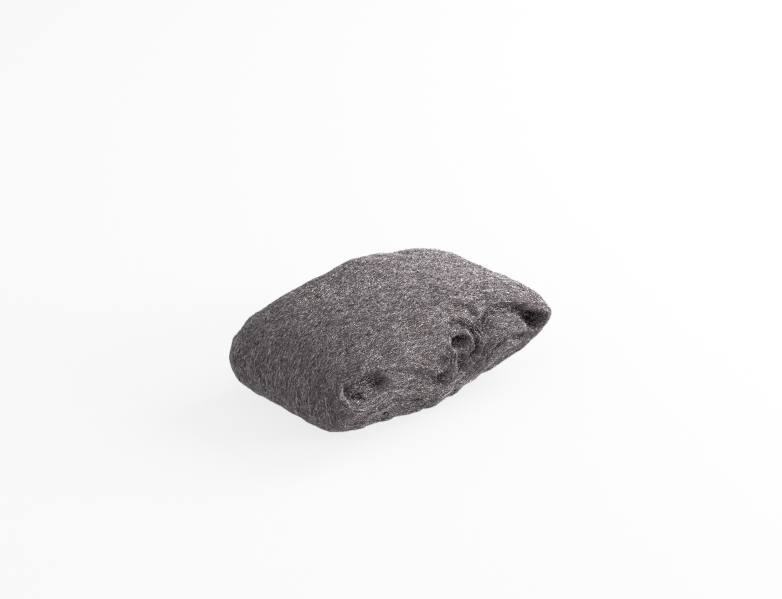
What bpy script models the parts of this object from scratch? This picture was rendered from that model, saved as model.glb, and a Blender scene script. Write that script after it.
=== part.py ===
# Steel wool pad: a soft web of steel fibres rolled up flat into a cushion.
# X runs across the turns from the round fold to the pointed fold, Y along the roll's axis, Z up.
# The two ends show the turns: shallow seams between the layers, and blind hollows at the folds and the core.
import math

import bmesh
import bpy
import numpy as np

for old in list(bpy.data.objects):
    bpy.data.objects.remove(old, do_unlink=True)

MM = 0.001

# The cushion
PAD_LENGTH = 102 * MM           # from fold to fold
ROUND_SIDE_WIDTH = 58.1 * MM    # along the round fold
POINTED_SIDE_WIDTH = 63.9 * MM  # along the pointed fold
NEAR_HEIGHT = 36.4 * MM         # the crown's line, carried out to the near end
FAR_HEIGHT = 33.9 * MM          # the crown's line, carried out to the far end
ROUND_FOLD_HEIGHT = 16.4 * MM     # outermost line of the round fold above the floor
POINTED_FOLD_HEIGHT = 21.8 * MM # outermost line of the pointed fold above the floor
END_INSET = 13 * MM           # the ends' middle line stops this far inside each fold
REST_DEPTH = 1.4 * MM           # how far the weight flattens the underside
TOP_LEAN = 2.3 * MM             # the crown sits this far toward the pointed fold
CORNER_REACH = 1.5 * MM         # the near end's two corners stand out this far
SHOULDER_HEIGHT = 1.7 * MM      # a swell in the top at the far end
SHOULDER_ALONG = 56 * MM
EDGE_STEP = 2 * MM            # the near end's lower edge runs in and out by this
EDGE_PITCH = 48.5 * MM
EDGE_START = 46.8 * MM
RAGGED_STEP = 0.5 * MM          # and its tufts stand in and out by this
RAGGED_PITCH = 10 * MM
RAGGED_START = 46.1 * MM

# How full each quarter of the section is, and how square each end is
TOP_ROUND_FULLNESS = 2.4
TOP_POINTED_FULLNESS = 1.65
UNDER_ROUND_FULLNESS = 5.2
UNDER_POINTED_FULLNESS = 1.14
NEAR_TOP_SQUARENESS = 3.0
NEAR_UNDER_SQUARENESS = 6.2
FAR_SQUARENESS = 11.0

# The turns seen at the ends, measured from the round fold and the floor
CORE_ALONG = 55 * MM
CORE_HEIGHT = 24.5 * MM
CORE_WIDTH = 3.5 * MM
CORE_DEPTH = 5 * MM
HOLLOW_RISE = 4.6 * MM            # the hollow inside the round fold lies this far above the fold's line
HOLLOW_LENGTH = 10.5 * MM
HOLLOW_DEPTH = 3.6 * MM
MOUTH_DEPTH = 7 * MM
SEAM_WIDTH = 2.6 * MM
SEAM_DEPTH = 1.6 * MM
POCKET_WIDTH = 3.8 * MM
POCKET_DEPTH = 2.3 * MM
RIDGE_WIDTH = 2.4 * MM
RIDGE_HEIGHT = 0.7 * MM
FAR_END_DEPTH = 0.55            # the far end's gaps are this shallow against the near end's

# The web's loose bulk
LUMP_HEIGHT = 0.35 * MM
LUMP_PITCH = 15 * MM

# Resolution
STATIONS = 70
NEAR_RINGS = 23
WALL_RINGS = 12
FAR_RINGS = 8


def blend(low, high, share):
    return low * (1 - share) + high * share


def smooth(value):
    value = np.clip(value, 0, 1)
    return value * value * (3 - 2 * value)


def fold_height(across):
    return blend(ROUND_FOLD_HEIGHT, POINTED_FOLD_HEIGHT, (1 + across) / 2)


def quarter(across, upper):
    """How far the section stands off the line between its folds, as a share, by x from -1 to 1."""
    share = (1 + across) / 2
    top = blend(TOP_ROUND_FULLNESS, TOP_POINTED_FULLNESS, share)
    under = blend(UNDER_ROUND_FULLNESS, UNDER_POINTED_FULLNESS, share)
    power = np.where(upper, top, under)
    return np.sqrt(np.clip(1 - np.abs(across) ** power, 0, 1))


def section_angles():
    """Angles round the section whose points lie evenly along its outline, the same above and below."""
    fine = np.linspace(math.pi, 0, 4000)
    x = PAD_LENGTH / 2 * np.cos(fine)
    rise = (FAR_HEIGHT + NEAR_HEIGHT) / 4 * (quarter(np.cos(fine), True) + quarter(np.cos(fine), False)) / 2
    length = np.concatenate([[0], np.cumsum(np.hypot(np.diff(x), np.diff(rise)))])
    upper = np.interp(np.linspace(0, length[-1], STATIONS + 1), length, fine)
    return np.concatenate([upper, -upper[-2:0:-1]])


def ring_rows(angles):
    """For each ring, where it lies along the axis, from -1 at the near end to 1 at the far end."""
    over = (1 + np.sin(angles)) / 2
    near_power = blend(NEAR_UNDER_SQUARENESS, NEAR_TOP_SQUARENESS, over)
    far_power = np.full_like(angles, FAR_SQUARENESS)
    rows = []
    for share in np.linspace(0, 0.95, NEAR_RINGS):
        rows.append(-((1 - share ** 2) ** (1 / near_power)))
    near_edge = rows[-1]
    far_edge = (1 - 0.95 ** 2) ** (1 / far_power)
    for share in np.linspace(0, 1, WALL_RINGS + 1)[1:-1]:
        rows.append(blend(near_edge, far_edge, share))
    for share in np.linspace(0.95, 0, FAR_RINGS):
        rows.append((1 - share ** 2) ** (1 / far_power))
    rows = np.array(rows)
    power = np.where(rows < 0, near_power, far_power)
    return rows, np.sqrt(np.clip(1 - np.abs(rows) ** power, 0, 1))


def along_line(points, x, z):
    """Distance from each (x, z) to a bent line through the points."""
    nearest = np.full(x.shape, 1.0)
    for (ax, az), (bx, bz) in zip(points[:-1], points[1:]):
        dx, dz = bx - ax, bz - az
        share = np.clip(((x - ax) * dx + (z - az) * dz) / (dx * dx + dz * dz), 0, 1)
        nearest = np.minimum(nearest, np.hypot(x - ax - share * dx, z - az - share * dz))
    return nearest


def away_from(along, height):
    """A function that turns offsets in millimetres from an anchor into points of an end."""
    return lambda *offsets: [(along + x * MM, height + z * MM) for x, z in offsets]


def gap_lines():
    """The gaps between the turns at an end, as (bent line, width, depth)."""
    fold = away_from(0, ROUND_FOLD_HEIGHT)
    core = away_from(CORE_ALONG, CORE_HEIGHT)
    mouth = away_from(PAD_LENGTH, POINTED_FOLD_HEIGHT)
    hollow = away_from(9.2 * MM, ROUND_FOLD_HEIGHT + HOLLOW_RISE)
    length = HOLLOW_LENGTH / MM
    return [
        # the hollow inside the round fold, and its three deeper spots
        (hollow((-0.4, -0.9), (length, -0.6)), 2.6 * SEAM_WIDTH, HOLLOW_DEPTH),
        (hollow((0.8, -2.4), (3.4, -3.3)), SEAM_WIDTH, 1.2 * HOLLOW_DEPTH),
        (hollow((5.5, 1), (9.6, 0.9)), SEAM_WIDTH, 1.2 * HOLLOW_DEPTH),
        (hollow((length - 1.0, -1.4), (length + 1.2, -2)), SEAM_WIDTH, 1.15 * HOLLOW_DEPTH),
        # the seam from the hollow to the pocket under the core
        (
            hollow((length + 1.5, -1), (14.1, 1.7), (20.1, 0.2)) + core((-19.4, -5.2), (-12.9, -9.5), (-9.5, -11.4)),
            0.9 * SEAM_WIDTH,
            0.8 * SEAM_DEPTH,
        ),
        # the core, and the pockets under it
        (core((-1.6, -0.9), (1.8, -1.1)), CORE_WIDTH, CORE_DEPTH),
        (core((-8.8, -11.6), (-6.6, -11.8)), POCKET_WIDTH, POCKET_DEPTH),
        (core((-8.8, -4.6), (-7.4, -5.2)), 0.8 * POCKET_WIDTH, 0.6 * POCKET_DEPTH),
        (core((0.2, -6.4), (1.4, -10)), 0.9 * POCKET_WIDTH, 0.75 * POCKET_DEPTH),
        # the gap round the curl, and from there under the top layer to the mouth
        (
            core((3, 3.4), (5.9, 0.8), (6.9, -1.5), (7.1, -5.2), (5, -7.4)),
            0.9 * SEAM_WIDTH,
            1.3 * SEAM_DEPTH,
        ),
        (
            core((7.4, 0.2), (13.4, 1.4), (16.6, 2.6), (19.6, 2.4)) + mouth((-24, 5), (-20, 4.4), (-17, 3.2)),
            1.6 * SEAM_WIDTH,
            2.8 * SEAM_DEPTH,
        ),
        (mouth((-20.5, 3.4), (-15, 1.2)), 1.4 * SEAM_WIDTH, 0.6 * MOUTH_DEPTH),
        (mouth((-14.8, 0.5), (-11, -1)), 1.9 * SEAM_WIDTH, MOUTH_DEPTH),
        (mouth((-13.2, -2), (-12.4, -2.6)), SEAM_WIDTH, 0.6 * MOUTH_DEPTH),
        (core((-1, 4.6), (3, 3.4)), 0.7 * SEAM_WIDTH, SEAM_DEPTH),
        (core((4.4, 6.8), (8.8, 5.4)), 1.2 * SEAM_WIDTH, 1.3 * SEAM_DEPTH),
        # the seams of the under layers
        (
            core((12, -11), (17.2, -7.7)) + mouth((-25.8, -2.4), (-19.8, -4.3)),
            0.9 * SEAM_WIDTH,
            0.8 * SEAM_DEPTH,
        ),
        (core((11, -5), (9.5, -8.7), (4.5, -14.3)), 0.8 * SEAM_WIDTH, 0.3 * SEAM_DEPTH),
        (
            fold((7, 0.6), (9, -3.4), (16, -5.4), (26.1, -3.9), (31.4, -6.6), (38, -8.9)),
            0.9 * SEAM_WIDTH,
            0.6 * SEAM_DEPTH,
        ),
        (
            fold((5, 1.6), (6.5, -4.9), (14, -8.8), (26, -9.2), (40, -11.8)),
            0.8 * SEAM_WIDTH,
            0.4 * SEAM_DEPTH,
        ),
    ]


def ridge_lines():
    """The layers' edges that stand proud at an end, as bent lines."""
    core = away_from(CORE_ALONG, CORE_HEIGHT)
    mouth = away_from(PAD_LENGTH, POINTED_FOLD_HEIGHT)
    return [
        core((-2.5, 3), (1, 3.2), (4.2, 1.6), (5.2, -1.5), (5, -4.6)),
        core((-3.4, -1.5), (-3.1, -4.4), (-3.4, -7.4), (-4.4, -9.6)),
        core((9.8, -1), (8.6, -7), (3.5, -12.5), (-5, -14.7)),
        core((15, -4), (12.6, -7), (11.4, -12), (8, -15.5)),
        mouth((-26, 8.8), (-18, 6), (-10, 3.8)),
    ]


def end_relief(x, z):
    """Depth below an end at each point, x from the round fold and z from the floor: gaps less ridges."""
    depth = np.zeros_like(x)
    for points, width, deep in gap_lines():
        depth = np.maximum(depth, deep * smooth(1.15 - along_line(points, x, z) / (width / 2) * 0.72))
    proud = np.zeros_like(x)
    for points in ridge_lines():
        proud = np.maximum(proud, RIDGE_HEIGHT * smooth(1.3 - along_line(points, x, z) / (RIDGE_WIDTH / 2)))
    return np.where(depth > proud, depth, depth - proud)


def lumps(x, y, z):
    """Slow swells of the web's surface, a sum of waves that never line up."""
    pace = 2 * math.pi / LUMP_PITCH
    first = np.sin(pace * (x + 0.35 * y) - 2.34) * np.cos(pace * (0.8 * y - 0.6 * z) + 0.3)
    second = np.sin(pace * (1.7 * y - 0.9 * x) - 1.04) * np.cos(pace * (1.3 * z + 0.5 * x))
    return LUMP_HEIGHT * (first + 0.6 * second)


def normals_of(points):
    """Outward directions on the closed grid of rings."""
    round_step = np.roll(points, -1, axis=1) - np.roll(points, 1, axis=1)
    along_step = np.gradient(points, axis=0)
    normal = np.cross(round_step, along_step)
    length = np.linalg.norm(normal, axis=2, keepdims=True)
    return normal / np.maximum(length, 1e-12)


def pad_grid():
    """Points of the pad, ring by ring from the near end to the far end."""
    angles = section_angles()
    rows, share = ring_rows(angles)
    across = np.cos(angles)[None, :]
    upper = np.sin(angles)[None, :] > 1e-9
    tip = fold_height(across)
    crown = blend(NEAR_HEIGHT, FAR_HEIGHT, (1 + rows) / 2)
    reach = np.where(upper, crown - tip, -(tip + REST_DEPTH))
    z = tip + reach * quarter(across, upper) * share
    x = across * (PAD_LENGTH / 2 - END_INSET * (1 - share))
    width = blend(ROUND_SIDE_WIDTH, POINTED_SIDE_WIDTH, (1 + across) / 2)
    y = width / 2 * rows - CORNER_REACH * (1 - rows) / 2 * across ** 2
    along = x + PAD_LENGTH / 2
    lower_edge = smooth((share - 0.3) / 0.5) * smooth((-rows - 0.5) / 0.4) * ~upper
    wave = EDGE_STEP * np.cos(2 * math.pi * (along - EDGE_START) / EDGE_PITCH)
    tuft = 2 * math.pi * (along - RAGGED_START) / RAGGED_PITCH
    wave = wave + RAGGED_STEP * (np.sin(tuft) + 0.5 * np.sin(1.7 * tuft + 1)) * smooth((0.7 - across) / 0.4)
    y = y - wave * lower_edge
    shoulder = np.exp(-(((along - SHOULDER_ALONG) / (11 * MM)) ** 2)) * smooth((rows - 0.1) / 0.6)
    z = z + SHOULDER_HEIGHT * shoulder * share * upper
    points = np.stack([x, y, z], axis=2)
    normal = normals_of(points)
    normal[0] = (0, -1, 0)
    normal[-1] = (0, 1, 0)
    swell = lumps(x, y, z) * smooth(share / 0.4)
    step = 0.45 * PAD_LENGTH / STATIONS
    depth = (end_relief(along - step, z) + end_relief(along, z) + end_relief(along + step, z)) / 3
    depth = np.where(rows < 0, depth, FAR_END_DEPTH * depth)
    depth = depth * smooth((0.93 - share) / 0.12)
    inward = np.where(rows < 0, depth, -depth)
    points = points + normal * swell[..., None]
    points[..., 1] += inward
    height = (NEAR_HEIGHT + FAR_HEIGHT) / 2
    points[..., 0] += TOP_LEAN * (points[..., 2] / height - 0.5)
    points[..., 2] = np.maximum(points[..., 2], 0)
    low = points.min(axis=(0, 1))
    high = points.max(axis=(0, 1))
    points[..., 0] -= (low[0] + high[0]) / 2
    points[..., 1] -= (low[1] + high[1]) / 2
    return points


def pad_mesh(points):
    """A closed mesh of the rings, with each end's middle line joined top to bottom."""
    rings, around = points.shape[:2]
    mesh = bmesh.new()
    grid = [[mesh.verts.new(p) for p in ring] for ring in points]
    for i in range(rings - 1):
        for j in range(around):
            k = (j + 1) % around
            mesh.faces.new((grid[i][j], grid[i][k], grid[i + 1][k], grid[i + 1][j]))
    ends = [vert for ring in (grid[0], grid[-1]) for vert in ring]
    bmesh.ops.remove_doubles(mesh, verts=ends, dist=0.00001)
    bmesh.ops.recalc_face_normals(mesh, faces=mesh.faces)
    bmesh.ops.triangulate(mesh, faces=mesh.faces, quad_method="SHORT_EDGE")
    return mesh


def steel_wool():
    """Dull grey low-carbon steel fibre, loosely packed."""
    material = bpy.data.materials.new("steel_wool")
    material.use_nodes = True
    shader = material.node_tree.nodes["Principled BSDF"]
    shader.inputs["Base Color"].default_value = (0.24, 0.225, 0.23, 1)
    shader.inputs["Roughness"].default_value = 0.45
    shader.inputs["Metallic"].default_value = 1.0
    return material


data = bpy.data.meshes.new("wool_pad")
built = pad_mesh(pad_grid())
built.to_mesh(data)
built.free()
data.materials.append(steel_wool())
for face in data.polygons:
    face.use_smooth = True
wool_pad = bpy.data.objects.new("wool_pad", data)
bpy.context.scene.collection.objects.link(wool_pad)
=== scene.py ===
"""A steel wool pad: a soft web of fine steel fibres rolled up flat, lying on a pale floor.

X runs across the turns, from the round fold to the pointed fold; Y along the roll's axis; Z up. Metres.
The pad is one wool body with six layers of separate fibres laid over it.
"""
import math

import bpy
import numpy as np
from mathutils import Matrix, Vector


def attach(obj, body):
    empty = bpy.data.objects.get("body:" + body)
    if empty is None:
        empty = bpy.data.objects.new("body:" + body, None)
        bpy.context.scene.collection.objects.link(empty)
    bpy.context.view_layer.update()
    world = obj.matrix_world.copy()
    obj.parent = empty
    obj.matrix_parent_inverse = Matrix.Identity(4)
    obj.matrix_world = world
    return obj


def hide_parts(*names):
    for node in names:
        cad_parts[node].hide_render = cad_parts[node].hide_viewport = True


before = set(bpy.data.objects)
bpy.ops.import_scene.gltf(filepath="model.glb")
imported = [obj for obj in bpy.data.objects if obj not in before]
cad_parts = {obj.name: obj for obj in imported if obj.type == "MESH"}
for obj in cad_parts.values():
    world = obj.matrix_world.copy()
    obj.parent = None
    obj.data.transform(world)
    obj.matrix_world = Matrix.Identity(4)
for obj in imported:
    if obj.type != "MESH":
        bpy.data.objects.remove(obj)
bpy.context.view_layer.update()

MM = 0.001

# The cushion, as the solid has it
PAD_LENGTH = 102 * MM
ROUND_SIDE_WIDTH = 58.1 * MM
POINTED_SIDE_WIDTH = 63.9 * MM
NEAR_HEIGHT = 36.4 * MM
FAR_HEIGHT = 33.9 * MM
ROUND_FOLD_HEIGHT = 16.4 * MM
POINTED_FOLD_HEIGHT = 21.8 * MM
END_INSET = 13 * MM
REST_DEPTH = 1.4 * MM
TOP_LEAN = 2.3 * MM
CORNER_REACH = 1.5 * MM
TOP_ROUND_FULLNESS = 2.4
TOP_POINTED_FULLNESS = 1.65
UNDER_ROUND_FULLNESS = 5.2
UNDER_POINTED_FULLNESS = 1.14
NEAR_TOP_SQUARENESS = 3.0
NEAR_UNDER_SQUARENESS = 6.2
FAR_SQUARENESS = 11.0

# The shoulder on the far top edge, and the wavy, ragged lower edge of the near end
SHOULDER_HEIGHT = 1.7 * MM
SHOULDER_ALONG = 56 * MM
SHOULDER_WIDTH = 11 * MM
EDGE_STEP = 2 * MM
EDGE_PITCH = 48.5 * MM
EDGE_START = 46.8 * MM
RAGGED_STEP = 0.5 * MM
RAGGED_PITCH = 10 * MM
RAGGED_START = 46.1 * MM

# The gaps between the turns
CORE_ALONG = 55 * MM
CORE_HEIGHT = 24.5 * MM
CORE_WIDTH = 3.5 * MM
CORE_DEPTH = 5 * MM
HOLLOW_ALONG = 9.2 * MM
HOLLOW_RISE = 4.6 * MM
HOLLOW_LENGTH = 10.5 * MM
HOLLOW_DEPTH = 3.6 * MM
MOUTH_DEPTH = 7 * MM
SEAM_WIDTH = 2.6 * MM
SEAM_DEPTH = 1.6 * MM
POCKET_WIDTH = 3.8 * MM
POCKET_DEPTH = 2.3 * MM
FAR_END_DEPTH = 0.55

# The layers' edges that stand proud and the slow swells, a little lower than in the solid
RIDGE_WIDTH = 2.4 * MM
RIDGE_HEIGHT = 0.6 * MM
LUMP_HEIGHT = 0.2 * MM
LUMP_PITCH = 15 * MM

# The fine surface: points round half the pad, rings on each stretch, and how full the section is where an end
# meets the wall between the ends
STATIONS = 216
NEAR_RINGS = 68
WALL_RINGS = 44
FAR_RINGS = 28
WALL_FULLNESS = 0.95

# How a gap looks: painted shade starts to darken it at the pale depth, is darkest at the dark one, and it has
# fewer strands.
# The fibres turn to follow each proud edge and each gap longer than LONG_GAP, much less so beyond GAP_PULL.
GAP_PALE = 0.7 * MM
GAP_DARK = 5.2 * MM
GAP_SHADE = 0.75
GAP_THINNING = 0.65
LONG_GAP = 5 * MM
GAP_PULL = 3.2 * MM

# Random numbers a side in the table of each noise
NOISE_NUMBERS = 256

# Tufts and the layers' fine edges, in millimetres, as the places round and along the pad are
GIRTH_MM = 232
LONG_TUFTS_ROUND = 25
LONG_TUFT_LENGTH_MM = GIRTH_MM / LONG_TUFTS_ROUND
LONG_TUFT_WIDTH_MM = 1.5
SHORT_TUFTS_ROUND = 60
SHORT_TUFT_LENGTH_MM = 3.867
SHORT_TUFT_WIDTH_MM = 0.9
TUFT_HEIGHT_MM = 0.1
ROUND_FOLD_CALM = 0.6
LAYERS_SEEN = 7
LAYER_HEIGHT_MM = 0.27
BENDS_ROUND = 20
BEND_LENGTH_MM = GIRTH_MM / BENDS_ROUND
BEND_OF_LAYER = 0.5

# Fibres: how far their way drifts in radians, how their ends sink, their section, how far it twists in
# radians, and their clearance to the floor. The least rate keeps their steps finite where the rings close.
DRIFT = 0.28
DRIFT_WIDTH_MM = 9
NEAR_END_CALM = 0.6
FIBRE_SINK = 0.12 * MM
FIBRE_UNEVENNESS = 0.06 * MM
FIBRE_TIP = 0.35
FIBRE_FLATNESS = 0.55
FIBRE_TWIST = 1.2
FLOOR_CLEARANCE = 0.02 * MM
LEAST_RATE = 10 * MM
FIRST_FIBRE_SEED = 100

# Packed fibre: grains a millimetre round and along the pad, coarser than the real fibre, which wouldn't show
GRAINS_PER_MM = (0.35, 3.4, 1)
GRAIN_RELIEF = 0.3 * MM

# The studio: the floor's size, the share of plain white in its look, the light from all round, and where the
# lamps point
FLOOR_SIZE = 4
FLOOR_WHITENESS = 0.8
ROOM_LIGHT = 0.48
LAMP_AIM = (0, 0, 0.02)

# The camera, as it was fitted to the photograph: frame in pixels, turns in degrees, place in metres, and
# sensor in millimetres
FRAME_WIDTH = 782
PIXELS_PER_MM = 2.911
PIXELS_ABOVE_AIM = 36.7
PIXELS_RIGHT_OF_AIM = 1.5
CAMERA_TURN = -41.96
CAMERA_RISE = 26.65
CAMERA_DISTANCE = 0.65
CAMERA_AIM = (-0.0001, 0.0007, 0.016)
SENSOR_WIDTH = 36


# Arithmetic that the shapes share

def blend(low, high, share):
    """The low value at a share of 0 and the high one at 1."""
    return low * (1 - share) + high * share


def smooth(value):
    """0 to 1, eased at both ends: 3 v^2 - 2 v^3."""
    value = np.clip(value, 0, 1)
    return value * value * (3 - 2 * value)


def fade(value, start, end):
    """0 at the start and 1 at the end, eased between them; the start may be the larger."""
    return smooth((value - start) / (end - start))


def unit(vectors):
    """The vectors, each at a length of 1."""
    length = np.linalg.norm(vectors, axis=-1, keepdims=True)
    return vectors / np.maximum(length, 1e-12)


def cell_noise(x, y, seed, wrap):
    """Smooth random values from -1 to 1: a random number at each whole (x, y), eased between.

    Along x the numbers repeat after the wrap.
    """
    table = np.random.default_rng(seed).uniform(-1, 1, (NOISE_NUMBERS, NOISE_NUMBERS))
    x0, y0 = np.floor(x).astype(int), np.floor(y).astype(int)
    fx, fy = smooth(x - x0), smooth(y - y0)
    left, right = np.mod(x0, wrap), np.mod(x0 + 1, wrap)
    low, high = np.mod(y0, NOISE_NUMBERS), np.mod(y0 + 1, NOISE_NUMBERS)
    near = blend(table[left, low], table[right, low], fx)
    far = blend(table[left, high], table[right, high], fx)
    return blend(near, far, fy)


def slopes(field):
    """How fast a field on the grid changes, for a whole turn round it and for its whole length."""
    rings, around = field.shape[:2]
    round_slope = (np.roll(field, -1, axis=1) - np.roll(field, 1, axis=1)) / 2 * around
    along_slope = np.gradient(field, axis=0) * (rings - 1)
    return round_slope, along_slope


def grid_normals(points):
    """Outward directions on the closed grid, the cross product of the steps round and along it.

    The first and last rings are lines, so there they point along the axis.
    """
    round_step = np.roll(points, -1, axis=1) - np.roll(points, 1, axis=1)
    along_step = np.gradient(points, axis=0)
    normals = unit(np.cross(round_step, along_step))
    normals[0] = (0, -1, 0)
    normals[-1] = (0, 1, 0)
    return normals


def read_grid(field, round_at, along_at):
    """The field at each place, round and along from 0 to 1, a mix of its four nearest grid values."""
    rings, around = field.shape[:2]
    column, row = np.mod(round_at, 1) * around, np.clip(along_at, 0, 1) * (rings - 1)
    c0, r0 = np.floor(column).astype(int) % around, np.minimum(np.floor(row).astype(int), rings - 2)
    fc, fr = column - np.floor(column), row - r0
    if field.ndim == 3:
        fc, fr = fc[..., None], fr[..., None]
    c1 = (c0 + 1) % around
    low = blend(field[r0, c0], field[r0, c1], fc)
    high = blend(field[r0 + 1, c0], field[r0 + 1, c1], fc)
    return blend(low, high, fr)


# The pad's form

def fold_height(across):
    """Height of the line between the two folds, which the section stands off above and below."""
    return blend(ROUND_FOLD_HEIGHT, POINTED_FOLD_HEIGHT, (1 + across) / 2)


def section_rise(across, upper):
    """How far the section stands off the line between its folds: the root of 1 - |across|^fullness."""
    share = (1 + across) / 2
    top = blend(TOP_ROUND_FULLNESS, TOP_POINTED_FULLNESS, share)
    under = blend(UNDER_ROUND_FULLNESS, UNDER_POINTED_FULLNESS, share)
    fullness = np.where(upper, top, under)
    return np.sqrt(np.clip(1 - np.abs(across) ** fullness, 0, 1))


def section_angles():
    """Angles round the section whose points lie evenly along its outline, the same above and below."""
    fine = np.linspace(math.pi, 0, 4000)
    x = PAD_LENGTH / 2 * np.cos(fine)
    both = section_rise(np.cos(fine), True) + section_rise(np.cos(fine), False)
    rise = (FAR_HEIGHT + NEAR_HEIGHT) / 4 * both / 2
    length = np.concatenate([[0], np.cumsum(np.hypot(np.diff(x), np.diff(rise)))])
    upper = np.interp(np.linspace(0, length[-1], STATIONS + 1), length, fine)
    return np.concatenate([upper, -upper[-2:0:-1]])


def ring_rows(angles):
    """Where each ring lies along the axis, -1 at the near end to 1 at the far end, and how full it is there.

    The share is 0 on the line at the middle of an end, where the section has closed, and 1 where it is whole:
    |row|^squareness = 1 - share^2. On the ends the shares are evenly spaced, and on the wall the rows are.
    """
    over = (1 + np.sin(angles)) / 2
    near_squareness = blend(NEAR_UNDER_SQUARENESS, NEAR_TOP_SQUARENESS, over)[None, :]
    near_share = np.linspace(0, WALL_FULLNESS, NEAR_RINGS)[:, None]
    near = -((1 - near_share ** 2) ** (1 / near_squareness))
    far_share = np.linspace(WALL_FULLNESS, 0, FAR_RINGS)[:, None]
    far = (1 - far_share ** 2) ** (1 / FAR_SQUARENESS) * np.ones_like(near_squareness)
    wall = blend(near[-1:], far[:1], np.linspace(0, 1, WALL_RINGS + 1)[1:-1, None])
    rows = np.concatenate([near, wall, far])
    squareness = np.where(rows < 0, near_squareness, FAR_SQUARENESS)
    return rows, np.sqrt(np.clip(1 - np.abs(rows) ** squareness, 0, 1))


def along_line(points, x, z):
    """Distance from each (x, z) to a bent line through the points."""
    nearest = np.full(x.shape, 1.0)
    for (ax, az), (bx, bz) in zip(points[:-1], points[1:]):
        dx, dz = bx - ax, bz - az
        share = np.clip(((x - ax) * dx + (z - az) * dz) / (dx * dx + dz * dz), 0, 1)
        nearest = np.minimum(nearest, np.hypot(x - ax - share * dx, z - az - share * dz))
    return nearest


def away_from(along, height):
    """A function that turns offsets in millimetres from an anchor into points of an end."""
    return lambda *offsets: [(along + x * MM, height + z * MM) for x, z in offsets]


# The four places that the lines of an end are measured from
from_fold = away_from(0, ROUND_FOLD_HEIGHT)
from_hollow = away_from(HOLLOW_ALONG, ROUND_FOLD_HEIGHT + HOLLOW_RISE)
from_core = away_from(CORE_ALONG, CORE_HEIGHT)
from_mouth = away_from(PAD_LENGTH, POINTED_FOLD_HEIGHT)


def gap_lines():
    """The gaps between the turns at an end, as (bent line, width, depth)."""
    length = HOLLOW_LENGTH / MM
    hollow_to_pocket = from_hollow((length + 1.5, -1), (14.1, 1.7), (20.1, 0.2))
    hollow_to_pocket += from_core((-19.4, -5.2), (-12.9, -9.5), (-9.5, -11.4))
    core_to_mouth = from_core((7.4, 0.2), (13.4, 1.4), (16.6, 2.6), (19.6, 2.4))
    core_to_mouth += from_mouth((-24, 5), (-20, 4.4), (-17, 3.2))
    round_core = from_core((3, 3.4), (5.9, 0.8), (6.9, -1.5), (7.1, -5.2), (5, -7.4))
    under_core = from_core((12, -11), (17.2, -7.7)) + from_mouth((-25.8, -2.4), (-19.8, -4.3))
    under_hollow = from_fold((9.6, -4), (16, -5.4), (26.1, -3.9), (31.4, -6.6), (38, -8.9))
    lowest_seam = from_fold((6.8, -5.2), (14, -8.8), (26, -9.2), (40, -11.8))
    return [
        # the hollow inside the round fold, and its three deeper spots
        (from_hollow((0, -0.9), (length, -0.6)), 2.3 * SEAM_WIDTH, HOLLOW_DEPTH),
        (from_hollow((0.8, -2.4), (3.4, -3.3)), SEAM_WIDTH, 1.2 * HOLLOW_DEPTH),
        (from_hollow((5.5, 1), (9.6, 0.9)), SEAM_WIDTH, 1.2 * HOLLOW_DEPTH),
        (from_hollow((length - 1.0, -1.4), (length + 1.2, -2)), SEAM_WIDTH, 1.15 * HOLLOW_DEPTH),
        # the seam from the hollow to the pocket under the core
        (hollow_to_pocket, 0.9 * SEAM_WIDTH, 0.8 * SEAM_DEPTH),
        # the core, and the pockets under it
        (from_core((-1.6, -0.9), (1.8, -1.1)), CORE_WIDTH, CORE_DEPTH),
        (from_core((-8.8, -11.6), (-6.6, -11.8)), POCKET_WIDTH, POCKET_DEPTH),
        (from_core((-8.8, -4.6), (-7.4, -5.2)), 0.8 * POCKET_WIDTH, 0.6 * POCKET_DEPTH),
        (from_core((0.2, -6.4), (1.4, -10)), 0.9 * POCKET_WIDTH, 0.75 * POCKET_DEPTH),
        # the gap round the curl, and from there under the top layer to the mouth
        (round_core, 0.9 * SEAM_WIDTH, 1.3 * SEAM_DEPTH),
        (core_to_mouth, 1.6 * SEAM_WIDTH, 2.8 * SEAM_DEPTH),
        (from_mouth((-20.5, 3.4), (-15, 1.2)), 1.4 * SEAM_WIDTH, 0.6 * MOUTH_DEPTH),
        (from_mouth((-14.8, 0.5), (-11, -1)), 1.9 * SEAM_WIDTH, MOUTH_DEPTH),
        (from_mouth((-13.2, -2), (-12.4, -2.6)), SEAM_WIDTH, 0.6 * MOUTH_DEPTH),
        (from_core((-1, 4.6), (3, 3.4)), 0.7 * SEAM_WIDTH, SEAM_DEPTH),
        (from_core((4.4, 6.8), (8.8, 5.4)), 1.2 * SEAM_WIDTH, 1.3 * SEAM_DEPTH),
        # the seams of the under layers
        (under_core, 0.9 * SEAM_WIDTH, 0.8 * SEAM_DEPTH),
        (from_core((11, -5), (9.5, -8.7), (4.5, -14.3)), 0.8 * SEAM_WIDTH, 0.3 * SEAM_DEPTH),
        (under_hollow, 0.9 * SEAM_WIDTH, 0.6 * SEAM_DEPTH),
        (lowest_seam, 0.8 * SEAM_WIDTH, 0.4 * SEAM_DEPTH),
    ]


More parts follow.
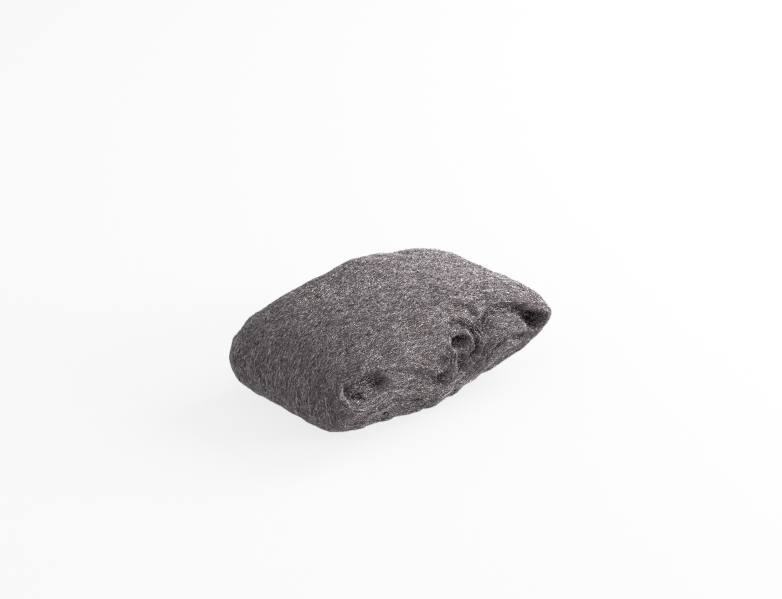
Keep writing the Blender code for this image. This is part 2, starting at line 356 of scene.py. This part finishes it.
def ridge_lines():
    """The layers' edges that stand proud at an end, as (bent line, width, height)."""
    rim = from_hollow((5, 4.8), (1, 4.5), (-2.4, 3), (-4, 0.2), (-3.6, -3.2), (-1.3, -5.8), (4, -6.8),
                      (11, -5.4))
    edges = [
        from_core((-2.5, 3), (1, 3.2), (4.2, 1.6), (5.2, -1.5), (5, -4.6)),
        from_core((-3.4, -1.5), (-3.1, -4.4), (-3.4, -7.4), (-4.4, -9.6)),
        from_core((9.8, -1), (8.6, -7), (3.5, -12.5), (-5, -14.7)),
        from_core((15, -4), (12.6, -7), (11.4, -12), (8, -15.5)),
        from_mouth((-26, 8.8), (-18, 6), (-10, 3.8)),
    ]
    lines = [(edge, RIDGE_WIDTH, RIDGE_HEIGHT) for edge in edges]
    return lines + [(rim, 1.5 * RIDGE_WIDTH, 3 * RIDGE_HEIGHT)]


def end_relief(x, z):
    """Depth below an end at each point, and the distance to the middle line of the nearest long gap or edge.

    A gap has its whole depth over the middle fifth of its width and fades out at 1.6 half widths. An edge has
    its whole height over the middle three tenths and fades out at 1.3. The depth is the deepest gap less the
    highest edge.
    """
    depth, nearest = np.zeros_like(x), np.full_like(x, 1.0)
    for points, width, deep in gap_lines():
        away = along_line(points, x, z)
        depth = np.maximum(depth, deep * smooth(1.15 - away / (width / 2) * 0.72))
        if math.dist(points[0], points[-1]) > LONG_GAP:
            nearest = np.minimum(nearest, away)
    proud = np.zeros_like(x)
    for points, width, height in ridge_lines():
        away = along_line(points, x, z)
        proud = np.maximum(proud, height * smooth(1.3 - away / (width / 2)))
        nearest = np.minimum(nearest, away)
    return depth - proud, nearest


def lumps(x, y, z):
    """Slow swells of the web's surface, a sum of waves that never line up."""
    pace = 2 * math.pi / LUMP_PITCH
    first = np.sin(pace * (x + 0.35 * y) - 2.34) * np.cos(pace * (0.8 * y - 0.6 * z) + 0.3)
    second = np.sin(pace * (1.7 * y - 0.9 * x) - 1.04) * np.cos(pace * (1.3 * z + 0.5 * x))
    return LUMP_HEIGHT * (first + 0.6 * second)


def pad_grid():
    """The pad's surface as rings of points, and what is known at each of them.

    That is how full its ring is, the distance to the nearest middle line, whether it lies on an end, its row
    along the axis, its place across the turns, and how much shade is painted into a gap there.
    """
    angles = section_angles()
    rows, share = ring_rows(angles)
    across = np.cos(angles)[None, :]
    upper = np.sin(angles)[None, :] > 1e-9
    # the section at each ring
    tip = fold_height(across)
    crown = blend(NEAR_HEIGHT, FAR_HEIGHT, (1 + rows) / 2)
    reach = np.where(upper, crown - tip, -(tip + REST_DEPTH))
    z = tip + reach * section_rise(across, upper) * share
    x = across * (PAD_LENGTH / 2 - END_INSET * (1 - share))
    y = blend(ROUND_SIDE_WIDTH, POINTED_SIDE_WIDTH, (1 + across) / 2) / 2 * rows
    y = y - CORNER_REACH * (1 - rows) / 2 * across ** 2
    along = x + PAD_LENGTH / 2
    # the near end's lower edge, and the far top edge
    wave = EDGE_STEP * np.cos(2 * math.pi * (along - EDGE_START) / EDGE_PITCH)
    turn = 2 * math.pi * (along - RAGGED_START) / RAGGED_PITCH
    wave = wave + RAGGED_STEP * (np.sin(turn) + 0.5 * np.sin(1.7 * turn + 1)) * fade(across, 0.7, 0.3)
    y = y - wave * fade(share, 0.3, 0.8) * fade(rows, -0.5, -0.9) * ~upper
    shoulder = np.exp(-(((along - SHOULDER_ALONG) / SHOULDER_WIDTH) ** 2)) * fade(rows, 0.1, 0.7)
    z = z + SHOULDER_HEIGHT * shoulder * share * upper
    points = np.stack([x, y, z], axis=2)
    # the swells, the relief of the ends, and the top's lean towards the pointed fold
    normal = grid_normals(points)
    swell = lumps(x, y, z) * fade(share, 0, 0.4)
    depth, nearest = end_relief(along, z)
    on_end = fade(share, 0.93, 0.81)
    depth = np.where(rows < 0, depth, FAR_END_DEPTH * depth) * on_end
    points = points + normal * swell[..., None]
    points[..., 1] += np.where(rows < 0, depth, -depth)
    points[..., 0] += TOP_LEAN * (points[..., 2] / ((NEAR_HEIGHT + FAR_HEIGHT) / 2) - 0.5)
    # the shade painted into each gap, from its depth
    gap = GAP_SHADE * fade(depth, GAP_PALE, GAP_DARK)
    return points, share, nearest, on_end, rows, across, gap


def tufts(points, share, rows, across):
    """Height of the bunched fibre at each point, and the point's millimetres round and along the pad.

    The tufts are random cells drawn out along the way the web was wound, calmer at the round fold. The fine
    edges of the layers on the near end are a cosine of the share, bent by slow noise.
    """
    around = points.shape[1]
    round_mm = np.linspace(0, 1, around, endpoint=False)[None, :] * GIRTH_MM
    step = np.linalg.norm(np.diff(points, axis=0), axis=2) / MM
    along_mm = np.concatenate([np.zeros((1, around)), np.cumsum(step, axis=0)])
    long_tuft = cell_noise(round_mm / LONG_TUFT_LENGTH_MM, along_mm / LONG_TUFT_WIDTH_MM,
                           seed=3, wrap=LONG_TUFTS_ROUND)
    short_tuft = cell_noise(round_mm / SHORT_TUFT_LENGTH_MM, along_mm / SHORT_TUFT_WIDTH_MM,
                            seed=4, wrap=SHORT_TUFTS_ROUND)
    height = TUFT_HEIGHT_MM * long_tuft + TUFT_HEIGHT_MM * short_tuft
    height = height * (1 - ROUND_FOLD_CALM * fade(across, -0.35, -0.75))
    bend = BEND_OF_LAYER * cell_noise(round_mm / BEND_LENGTH_MM, share * 2, seed=5, wrap=BENDS_ROUND)
    layer = np.cos(2 * math.pi * (share * LAYERS_SEEN + bend))
    layer = layer * fade(share, 0.35, 0.65) * fade(share, 0.985, 0.945)
    height = height + LAYER_HEIGHT_MM * layer * (rows < 0) * fade(across, 0.2, -0.4)
    return height * MM, round_mm, along_mm


class Surface:
    """The finished wool surface, as fields on one grid that read_grid reads between its points.

    The flow is the way the fibres lie, as the cosine and sine of twice their angle, so that a fibre and its
    reverse are the same. It drifts about the way of winding, and near a gap it turns along the gap.
    """

    def __init__(self):
        points, share, nearest, self.on_end, self.rows, across, self.gap = pad_grid()
        ridge, self.round_mm, self.along_mm = tufts(points, share, self.rows, across)
        points = points + grid_normals(points) * (ridge * fade(share, 0, 0.3))[..., None]
        points[..., 2] = np.maximum(points[..., 2], 0)
        middle = (points.min(axis=(0, 1)) + points.max(axis=(0, 1))) / 2
        points[..., :2] -= middle[:2]
        self.points = points
        self.normals = grid_normals(points)
        round_step, along_step = slopes(points)
        self.round_rate = np.maximum(np.linalg.norm(round_step, axis=2), LEAST_RATE)
        self.along_rate = np.maximum(np.linalg.norm(along_step, axis=2), LEAST_RATE)
        self.area = self.round_rate * self.along_rate
        round_slope, along_slope = slopes(nearest)
        turn = np.arctan2(round_slope / self.round_rate, -along_slope / self.along_rate)
        pull = np.exp(-(nearest / GAP_PULL) ** 2) * self.on_end
        drift = DRIFT * cell_noise(self.round_mm / BEND_LENGTH_MM, self.along_mm / DRIFT_WIDTH_MM,
                                   seed=8, wrap=BENDS_ROUND)
        drift = drift * (1 - NEAR_END_CALM * fade(self.rows, -0.5, -0.8))
        self.flow = np.stack([blend(np.cos(2 * drift), np.cos(2 * turn), pull),
                              blend(np.sin(2 * drift), np.sin(2 * turn), pull)], axis=2)


def lay_fibres(surface, seed, count, weight, lift, width, spread, curl, steps, step):
    """Fibres marched over the surface along the way the web was wound.

    Each fibre starts at a random place and takes equal steps whose heading is the winding direction there,
    plus its own slant, plus a slow wander. Its middle rises off the surface and its ends sink in. Round the
    path goes a three-sided section, flat and turning, that narrows to both ends. Lift and width are ranges in
    millimetres.
    """
    rng = np.random.default_rng(seed)
    rings, around = surface.area.shape
    chance = (surface.area * weight)[:-1].ravel()
    chance = chance / chance.sum()
    cell = np.searchsorted(np.cumsum(chance), rng.random(count))
    round_at = (cell % around + rng.random(count)) / around
    along_at = (cell // around + rng.random(count)) / (rings - 1)
    slant = rng.normal(0, spread, count)
    phase = rng.uniform(0, 2 * math.pi, count)
    pace = rng.uniform(0.5, 1.6, count)
    heading = np.where(rng.random(count) < 0.5, 0, math.pi)
    path = []
    for k in range(steps + 1):
        path.append((round_at.copy(), along_at.copy()))
        flow = read_grid(surface.flow, round_at, along_at)
        way = 0.5 * np.arctan2(flow[:, 1], flow[:, 0])
        heading = np.where(np.cos(way - heading) < 0, way + math.pi, way)
        course = heading + slant + curl * np.sin(phase + pace * k)
        round_rate = read_grid(surface.round_rate, round_at, along_at)
        round_at = round_at + np.cos(course) * step / round_rate
        along_rate = read_grid(surface.along_rate, round_at, along_at)
        along_at = np.clip(along_at + np.sin(course) * step / along_rate, 0, 1)
    round_at, along_at = np.array(path).transpose(1, 2, 0)
    points = read_grid(surface.points, round_at, along_at)
    normal = unit(read_grid(surface.normals, round_at, along_at))
    run = np.linspace(0, 1, steps + 1)[None, :]
    rise = rng.uniform(lift[0], lift[1], count)[:, None] * MM
    height = rise * np.sin(math.pi * run) ** 0.7 - FIBRE_SINK * (1 - np.sin(math.pi * run))
    height = height + FIBRE_UNEVENNESS * rng.standard_normal((count, steps + 1))
    points = points + normal * height[..., None]
    tangent = unit(np.gradient(points, axis=1))
    side = unit(np.cross(tangent, normal))
    over = np.cross(side, tangent)
    half = rng.uniform(width[0], width[1], count)[:, None] * MM / 2
    half = half * (FIBRE_TIP + (1 - FIBRE_TIP) * np.sin(math.pi * run) ** 0.5)
    spin = rng.uniform(0, math.pi, count)[:, None] + rng.normal(0, FIBRE_TWIST, count)[:, None] * run
    corners = []
    for corner in (0, 1, 2):
        angle = 2 * math.pi * corner / 3
        a, b = half * np.cos(angle), FIBRE_FLATNESS * half * np.sin(angle)
        across, up = a * np.cos(spin) - b * np.sin(spin), a * np.sin(spin) + b * np.cos(spin)
        corners.append(points + side * across[..., None] + over * up[..., None])
    tube = np.stack(corners, axis=2)[:, 1:-1].reshape(count, -1, 3)
    fibres = np.concatenate([points[:, :1], tube, points[:, -1:]], axis=1)
    fibres[..., 2] = np.maximum(fibres[..., 2], FLOOR_CLEARANCE)
    tone = np.repeat(rng.random(count), fibres.shape[1])
    return fibres, tone


# Turning arrays into pieces

def new_piece(name, vertices, quads, material, triangles=None):
    """A mesh piece from arrays of points, four-sided faces and, where given, three-sided ones."""
    mesh = bpy.data.meshes.new(name)
    loops = quads.ravel()
    starts = np.arange(len(quads)) * 4
    if triangles is not None:
        starts = np.concatenate([starts, len(loops) + np.arange(len(triangles)) * 3])
        loops = np.concatenate([loops, triangles.ravel()])
    mesh.vertices.add(len(vertices))
    mesh.vertices.foreach_set("co", vertices.astype(np.float32).ravel())
    mesh.loops.add(len(loops))
    mesh.loops.foreach_set("vertex_index", loops.astype(np.int32))
    mesh.polygons.add(len(starts))
    mesh.polygons.foreach_set("loop_start", starts.astype(np.int32))
    mesh.update(calc_edges=True)
    mesh.shade_smooth()
    mesh.materials.append(material)
    piece = bpy.data.objects.new(name, mesh)
    bpy.context.scene.collection.objects.link(piece)
    return piece


def give_values(piece, name, values):
    """One number for each point of the piece, which its material reads."""
    layer = piece.data.attributes.new(name, "FLOAT", "POINT")
    layer.data.foreach_set("value", np.asarray(values, np.float32).ravel())


def wool_body(surface, material):
    """The body: the surface's grid as a closed skin, each end's middle line joined top to bottom."""
    rings, around = surface.points.shape[:2]
    index = np.arange(rings * around).reshape(rings, around)
    half = around // 2
    for ring in (0, -1):
        index[ring, half + 1:] = index[ring, 1:half][::-1]
    ahead = np.roll(index, -1, axis=1)
    quads = np.stack([index[:-1], ahead[:-1], ahead[1:], index[1:]], axis=2).reshape(-1, 4)
    used, quads = np.unique(quads, return_inverse=True)
    piece = new_piece("wool_body", surface.points.reshape(-1, 3)[used], quads.reshape(-1, 4), material)
    give_values(piece, "round_mm", np.broadcast_to(surface.round_mm, (rings, around)).ravel()[used])
    give_values(piece, "along_mm", surface.along_mm.ravel()[used])
    give_values(piece, "gap", surface.gap.ravel()[used])
    return piece


def fibre_piece(name, fibres, tone, material):
    """One layer of fibres: rings of three corners joined by four-sided faces, and a point at each end."""
    count, places = fibres.shape[:2]
    index = np.arange(count * places).reshape(count, places)
    rings = index[:, 1:-1].reshape(count, -1, 3)
    ahead = np.roll(rings, -1, axis=2)
    quads = np.stack([rings[:, :-1], rings[:, 1:], ahead[:, 1:], ahead[:, :-1]], axis=3).reshape(-1, 4)
    start = np.broadcast_to(index[:, :1], (count, 3))
    end = np.broadcast_to(index[:, -1:], (count, 3))
    first = np.stack([start, rings[:, 0], ahead[:, 0]], axis=2).reshape(-1, 3)
    last = np.stack([end, ahead[:, -1], rings[:, -1]], axis=2).reshape(-1, 3)
    piece = new_piece(name, fibres.reshape(-1, 3), quads, material, np.concatenate([first, last]))
    give_values(piece, "tone", tone)
    return piece


# Materials

def colour(hex_value):
    """An sRGB hex colour as linear red, green, blue, alpha."""
    parts = [int(hex_value[i:i + 2], 16) / 255 for i in (1, 3, 5)]
    return [c / 12.92 if c <= 0.04045 else ((c + 0.055) / 1.055) ** 2.4 for c in parts] + [1]


def add(tree, kind, settings=None, stops=None, **links):
    """A node of this kind with its settings, and a link or a value for each input, by name or as _0, _1.

    The stops are for a ramp, which starts with two of its own: each is (place, colour), in rising order.
    """
    made = tree.nodes.new(kind)
    for key, value in (settings or {}).items():
        setattr(made, key, value)
    for number, (place, shade) in enumerate(stops or []):
        elements = made.color_ramp.elements
        element = elements[number] if number < 2 else elements.new(place)
        element.position, element.color = place, shade
    for key, value in links.items():
        socket = made.inputs[int(key[1:])] if key[1:].isdigit() else made.inputs[key.replace("_", " ")]
        if isinstance(value, bpy.types.NodeSocket):
            tree.links.new(value, socket)
        else:
            socket.default_value = value
    return made


def fibre_steel():
    """Low-carbon steel shaved into fine fibre: bright cut faces on some strands, oiled grey on others.

    Each strand has a tone of its own, from the dullest and roughest at 0 to the brightest at 1.
    """
    material = bpy.data.materials.new("fibre_steel")
    material.use_nodes = True
    tree = material.node_tree
    shader = tree.nodes["Principled BSDF"]
    tone = add(tree, "ShaderNodeAttribute", {"attribute_name": "tone"}).outputs["Fac"]
    greys = [
        (0.0, colour("#766a65")),
        (0.5, colour("#8b8588")),
        (0.9, colour("#a49fa3")),
        (1.0, colour("#ccc8cb")),
    ]
    tint = add(tree, "ShaderNodeValToRGB", stops=greys, Fac=tone).outputs["Color"]
    tree.links.new(tint, shader.inputs["Base Color"])
    rough = add(tree, "ShaderNodeMapRange", _0=tone, _3=0.46, _4=0.28).outputs["Result"]
    tree.links.new(rough, shader.inputs["Roughness"])
    shader.inputs["Metallic"].default_value = 1.0
    return material


def packed_steel():
    """The packed fibre under the strands: the same steel, ribbed along the winding, with the web's inner
    shade painted into its darker colour.

    Little light gets into the gaps between the turns, so shade is painted into them, darker where they are
    deeper.
    """
    material = bpy.data.materials.new("packed_fibre_steel")
    material.use_nodes = True
    tree = material.node_tree
    shader = tree.nodes["Principled BSDF"]
    across = add(tree, "ShaderNodeAttribute", {"attribute_name": "round_mm"}).outputs["Fac"]
    along = add(tree, "ShaderNodeAttribute", {"attribute_name": "along_mm"}).outputs["Fac"]
    place = add(tree, "ShaderNodeCombineXYZ", X=across, Y=along).outputs["Vector"]
    drawn = add(tree, "ShaderNodeVectorMath", {"operation": "MULTIPLY"}, _0=place, _1=GRAINS_PER_MM)
    noise = add(tree, "ShaderNodeTexNoise", Vector=drawn.outputs["Vector"], Scale=1.0, Detail=4.0,
                Roughness=0.65, Distortion=0.6)
    grain = noise.outputs["Fac"]
    # Darker than the strands: painted shade of the deep web, with the grain's real ribbing across it
    painted_shade_browns = [(0.34, colour("#372f2c")), (0.52, colour("#5a5351")), (0.68, colour("#7a7576"))]
    tint = add(tree, "ShaderNodeValToRGB", stops=painted_shade_browns, Fac=grain).outputs["Color"]
    # Painted shade: the grain's colour mixed towards a dark brown in the gaps
    gap = add(tree, "ShaderNodeAttribute", {"attribute_name": "gap"}).outputs["Fac"]
    shaded = add(tree, "ShaderNodeMix", {"data_type": "RGBA"}, _0=gap, _6=tint, _7=colour("#29221f"))
    tree.links.new(shaded.outputs[2], shader.inputs["Base Color"])
    bump = add(tree, "ShaderNodeBump", Height=grain, Strength=0.8, Distance=GRAIN_RELIEF).outputs["Normal"]
    tree.links.new(bump, shader.inputs["Normal"])
    shader.inputs["Metallic"].default_value = 0.9
    shader.inputs["Roughness"].default_value = 0.6
    return material


def background_rays(tree):
    """1 for the rays that see the background as such: the camera's, and those off metal or through glass."""
    path = add(tree, "ShaderNodeLightPath")
    seen = path.outputs["Is Camera Ray"]
    for ray in ("Is Glossy Ray", "Is Transmission Ray"):
        either = add(tree, "ShaderNodeMath", {"operation": "MAXIMUM"}, _0=seen, _1=path.outputs[ray])
        seen = either.outputs["Value"]
    return seen


def white_sweep():
    """Smooth white sweep of a photographer's table: white to the camera, and it keeps the pad's shadow."""
    material = bpy.data.materials.new("white_sweep")
    material.use_nodes = True
    tree = material.node_tree
    shader = tree.nodes["Principled BSDF"]
    shader.inputs["Base Color"].default_value = colour("#f4f4f4")
    shader.inputs["Roughness"].default_value = 0.9
    shader.inputs["Specular IOR Level"].default_value = 0.1
    white = add(tree, "ShaderNodeEmission", Strength=1.0)
    rays = background_rays(tree)
    share = add(tree, "ShaderNodeMath", {"operation": "MULTIPLY"}, _0=rays, _1=FLOOR_WHITENESS)
    mixed = add(tree, "ShaderNodeMixShader", Fac=share.outputs["Value"], _1=shader.outputs["BSDF"],
                _2=white.outputs["Emission"])
    tree.links.new(mixed.outputs["Shader"], tree.nodes["Material Output"].inputs["Surface"])
    return material


# Floor, light and camera

def flat_floor():
    """The floor: one flat square, which isn't part of the pad."""
    corners = np.array([(-1, -1, 0), (1, -1, 0), (1, 1, 0), (-1, 1, 0)]) * FLOOR_SIZE / 2
    piece = new_piece("floor", corners, np.array([[0, 1, 2, 3]]), white_sweep())


def set_up(name, data, place, target):
    """A lamp or camera at its place, turned so that its back points away from the target."""
    piece = bpy.data.objects.new(name, data)
    piece.location = place
    piece.rotation_mode = "QUATERNION"
    piece.rotation_quaternion = Vector(np.array(place) - np.array(target)).to_track_quat("Z", "Y")
    bpy.context.scene.collection.objects.link(piece)
    return piece


def soft_light(name, place, size, power):
    """A square lamp, size in metres and power in watts."""
    lamp = bpy.data.lights.new(name, "AREA")
    lamp.shape, lamp.size, lamp.energy = "SQUARE", size, power
    set_up(name, lamp, place, LAMP_AIM)


def studio():
    """Even light from all round, white to the camera."""
    world = bpy.data.worlds.new("studio")
    world.use_nodes = True
    bpy.context.scene.world = world
    tree = world.node_tree
    backdrop = tree.nodes["Background"]
    backdrop.inputs["Color"].default_value = colour("#ffffff")
    rays = background_rays(tree)
    level = add(tree, "ShaderNodeMix", {"data_type": "FLOAT"}, Factor=rays, A=ROOM_LIGHT, B=1.0)
    tree.links.new(level.outputs["Result"], backdrop.inputs["Strength"])


def camera():
    """The camera of the photograph: from above the round fold and the near end, through a long lens."""
    turn, rise = math.radians(CAMERA_TURN), math.radians(CAMERA_RISE)
    back = np.array([math.sin(turn) * math.cos(rise), -math.cos(turn) * math.cos(rise), math.sin(rise)])
    right = np.array([math.cos(turn), math.sin(turn), 0])
    up = np.cross(back, right)
    place = np.array(CAMERA_AIM) + CAMERA_DISTANCE * back
    aside = up * PIXELS_ABOVE_AIM + right * PIXELS_RIGHT_OF_AIM
    look = np.array(CAMERA_AIM) + aside / PIXELS_PER_MM * MM
    lens = bpy.data.cameras.new("camera")
    lens.lens = PIXELS_PER_MM * CAMERA_DISTANCE / MM / FRAME_WIDTH * SENSOR_WIDTH
    lens.sensor_width = SENSOR_WIDTH
    lens.clip_start, lens.clip_end = 0.01, 50
    bpy.context.scene.camera = set_up("camera", lens, place, look)


def build():
    """The wool body and the layers of fibres over it, thinned in the gaps and denser on the near end."""
    surface = Surface()
    body = wool_body(surface, packed_steel())
    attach(body, "root")
    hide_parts("wool_pad")
    steel = fibre_steel()
    loose = 1 - GAP_THINNING * surface.gap
    near_end = surface.on_end * (surface.rows < 0) * loose
    denser = loose + 0.5 * near_end
    layers = {
        "fibres_under": dict(count=20000, weight=loose, lift=(0.0, 0.1), width=(0.26, 0.44), spread=0.22,
                             curl=0.1, steps=2, step=1.5 * MM),
        "fibres_lower": dict(count=32000, weight=loose, lift=(0.04, 0.18), width=(0.19, 0.34), spread=0.18,
                             curl=0.1, steps=2, step=1.5 * MM),
        "fibres_upper": dict(count=16000, weight=denser, lift=(0.08, 0.24), width=(0.16, 0.28), spread=0.16,
                             curl=0.12, steps=3, step=1.2 * MM),
        "fibres_fine": dict(count=23000, weight=denser, lift=(0.1, 0.26), width=(0.11, 0.18), spread=0.2,
                            curl=0.1, steps=2, step=1.2 * MM),
        "fibres_top": dict(count=6000, weight=denser, lift=(0.12, 0.3), width=(0.12, 0.2), spread=0.16,
                           curl=0.15, steps=5, step=1.2 * MM),
        "fibres_long": dict(count=2500, weight=0.15 * loose + near_end, lift=(0.15, 0.35), width=(0.1, 0.15),
                            spread=0.2, curl=0.2, steps=7, step=1.3 * MM),
    }
    for number, (name, layer) in enumerate(layers.items()):
        fibres, tone = lay_fibres(surface, FIRST_FIBRE_SEED + number, **layer)
        piece = fibre_piece(name, fibres, tone, steel)
        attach(piece, "root")


build()
flat_floor()
studio()
soft_light("key", place=(0.8, -0.1, 0.52), size=0.5, power=5.6)
soft_light("fill", place=(0.56, -0.74, 0.3), size=0.4, power=4.3)
soft_light("low_fill", place=(0.8, -0.5, 0.1), size=0.4, power=1.6)
camera()
bpy.context.scene.view_settings.view_transform = "Standard"
bpy.context.scene.cycles.use_denoising = False
